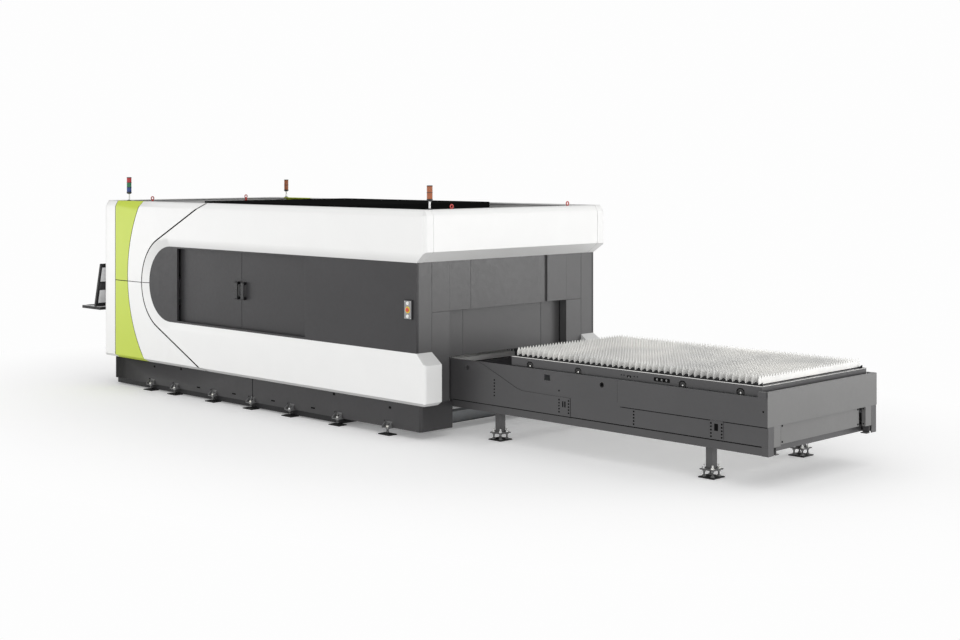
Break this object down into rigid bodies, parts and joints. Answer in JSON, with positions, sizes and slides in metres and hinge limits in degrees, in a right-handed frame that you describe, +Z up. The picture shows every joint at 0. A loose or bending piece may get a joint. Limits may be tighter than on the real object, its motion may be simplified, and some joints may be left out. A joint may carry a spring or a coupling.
{
  "type": "fiber laser cutting machine",
  "caption": "Enclosed flatbed fiber laser cutting machine with a long white and lime cabin, sliding doors and a shuttle table whose slatted pallets change places",
  "frame": {"origin": "centre of the bounding box in plan, on the floor", "axes": "+X from the operator's end of the cabin to the far end of the shuttle table, +Y from the side with the sliding doors to the other side, +Z up"},
  "size_m": [10.584, 2.88, 2.712],
  "materials": {
    "white_shell": "satin powder coat",
    "lime_panel": "satin powder coat",
    "dark_wall": "fine texture powder coat",
    "end_grey": "satin powder coat",
    "table_grey": "satin powder coat",
    "black_metal": "satin powder coat",
    "frame_grey": "satin paint",
    "bare_steel": "ground",
    "zinc_steel": "zinc plated",
    "cast_aluminium": "fine machined",
    "black_rubber": "matt",
    "black_plastic": "matt",
    "lamp_plastic": "gloss",
    "eye_red": "gloss",
    "red_plastic": "gloss",
    "white_plastic": "gloss",
    "screen_glass": "gloss"
  },
  "bodies": {
    "machine": {"front_side_shell": "white_shell", "rear_side_shell": "white_shell", "corner_columns": "white_shell", "lime_strip_panels": "lime_panel", "shoulder_panels": "white_shell", "end_upper_band": "white_shell", "operator_end_panel": "white_shell", "front_pocket_panel": "dark_wall", "front_fixed_panel": "dark_wall", "front_door_frame": "dark_wall", "rear_wall_panels": "dark_wall", "end_wall_sides": "end_grey", "end_wall_header": "end_grey", "end_door_guides": "black_metal", "plinth_panels": "dark_wall", "cabin_frame": "dark_wall", "levelling_feet": "black_rubber", "machine_bed": "frame_grey", "long_rails": "bare_steel", "roof_deck": "black_metal", "roof_covers": "black_metal", "cabinet_bulkhead": "frame_grey", "laser_source": "white_shell", "electrical_cabinet": "white_shell", "pallet_tracks": "frame_grey", "table_sides": "table_grey", "swept_side_plates": "table_grey", "table_guards": "table_grey", "table_end_plates": "table_grey", "table_subframe": "table_grey", "table_legs": "table_grey", "leg_floor_plates": "table_grey", "leg_jack_bolts": "zinc_steel", "signal_lamps": "lamp_plastic", "lifting_eyes": "eye_red", "push_button_box": "black_plastic", "console_bracket": "black_metal", "drive_gear_motor": "cast_aluminium"},
    "left_leaf": {"front_door_left": "dark_wall", "left_door_pull": "black_metal"},
    "right_leaf": {"front_door_right": "dark_wall", "right_door_pull": "black_metal"},
    "upper_pallet": {"upper_pallet_frame": "table_grey", "upper_pallet_slats": "bare_steel", "upper_pallet_wheels": "zinc_steel"},
    "lower_pallet": {"lower_pallet_frame": "table_grey", "lower_pallet_slats": "bare_steel", "lower_pallet_wheels": "zinc_steel"},
    "lifting_door": {"end_door": "end_grey"},
    "chain_shaft": {"drive_shaft": "bare_steel"},
    "gantry": {"gantry_beam": "cast_aluminium", "cross_rails": "bare_steel"},
    "carriage": {"cross_carriage": "cast_aluminium"},
    "head": {"head_slide": "cast_aluminium", "cutting_head": "black_metal"},
    "console": {"console_tray": "black_metal", "console_screen": "screen_glass"},
    "lower_button": {"lower_push_button": "white_plastic"},
    "upper_button": {"upper_push_button": "white_plastic"},
    "stop_button": {"emergency_button": "red_plastic"}
  },
  "joints": [
    {"name": "left_leaf_slide", "type": "slide", "parent": "machine", "child": "left_leaf", "axis": [-1, 0, 0], "range_m": [0, 1.1]},
    {"name": "right_leaf_slide", "type": "slide", "parent": "machine", "child": "right_leaf", "axis": [1, 0, 0], "range_m": [0, 1.1]},
    {"name": "upper_pallet_travel", "type": "slide", "parent": "machine", "child": "upper_pallet", "axis": [-1, 0, 0], "range_m": [0, 4.6]},
    {"name": "lower_pallet_travel", "type": "slide", "parent": "machine", "child": "lower_pallet", "axis": [1, 0, 0], "range_m": [0, 4.6]},
    {"name": "end_door_lift", "type": "slide", "parent": "machine", "child": "lifting_door", "axis": [0, 0, 1], "range_m": [0, 0.95]},
    {"name": "chain_shaft_turn", "type": "hinge", "parent": "machine", "child": "chain_shaft", "pos_m": [5.112, 0, 0.44], "axis": [0, 1, 0], "range_deg": [0, 6936]},
    {"name": "gantry_travel", "type": "slide", "parent": "machine", "child": "gantry", "axis": [1, 0, 0], "range_m": [0, 4.3]},
    {"name": "cross_travel", "type": "slide", "parent": "gantry", "child": "carriage", "axis": [0, 1, 0], "range_m": [0, 1.4]},
    {"name": "head_lift", "type": "slide", "parent": "carriage", "child": "head", "axis": [0, 0, -1], "range_m": [0, 0.1]},
    {"name": "console_swing", "type": "hinge", "parent": "machine", "child": "console", "pos_m": [-4.853, -1.02, 0.925], "axis": [0, 0, -1], "range_deg": [0, 90]},
    {"name": "lower_button_press", "type": "slide", "parent": "machine", "child": "lower_button", "axis": [0, 1, 0], "range_m": [0, 0.004], "stiffness_N_per_m": 600},
    {"name": "upper_button_press", "type": "slide", "parent": "machine", "child": "upper_button", "axis": [0, 1, 0], "range_m": [0, 0.004], "stiffness_N_per_m": 600},
    {"name": "stop_button_press", "type": "slide", "parent": "machine", "child": "stop_button", "axis": [0, 1, 0], "range_m": [0, 0.004], "stiffness_N_per_m": 600}
  ],
  "couplings": [
    {"joint": "lower_pallet_travel", "follows": "upper_pallet_travel", "ratio": 1},
    {"joint": "end_door_lift", "follows": "upper_pallet_travel", "ratio": 0.2065},
    {"joint": "chain_shaft_turn", "follows": "upper_pallet_travel", "rad_per_m": 26.3}
  ]
}
